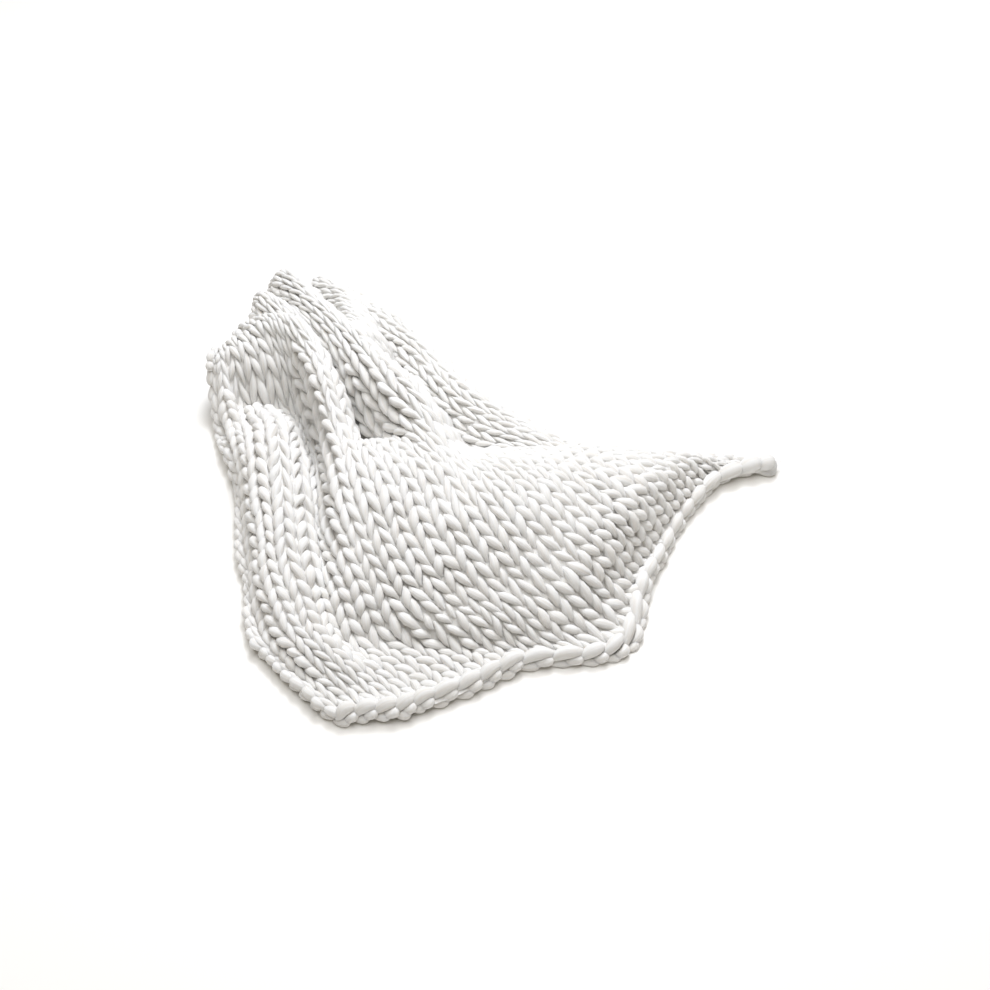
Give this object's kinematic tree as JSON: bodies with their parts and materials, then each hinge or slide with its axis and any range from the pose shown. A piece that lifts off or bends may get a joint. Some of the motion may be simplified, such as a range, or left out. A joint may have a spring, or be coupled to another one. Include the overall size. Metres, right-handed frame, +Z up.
{
  "type": "chunky knit throw blanket, laid down in loose folds",
  "caption": "Off-white hand-knitted blanket of fat unspun wool, thrown down on a floor: bunched into pleats at one end, fanned out over a soft swell, one corner drawn into a tail",
  "frame": {"origin": "centre of the blanket's box on the floor that it lies on", "axes": "+X along the fanned-out edge's pull, towards the tail; +Y from the cast-on edge back to the bunched end; +Z up"},
  "size_m": [1.2114, 1.1838, 0.2159],
  "materials": {
    "wool": "matte, soft fibre halo"
  },
  "bodies": {
    "root": {"blanket": "wool"}
  },
  "joints": []
}
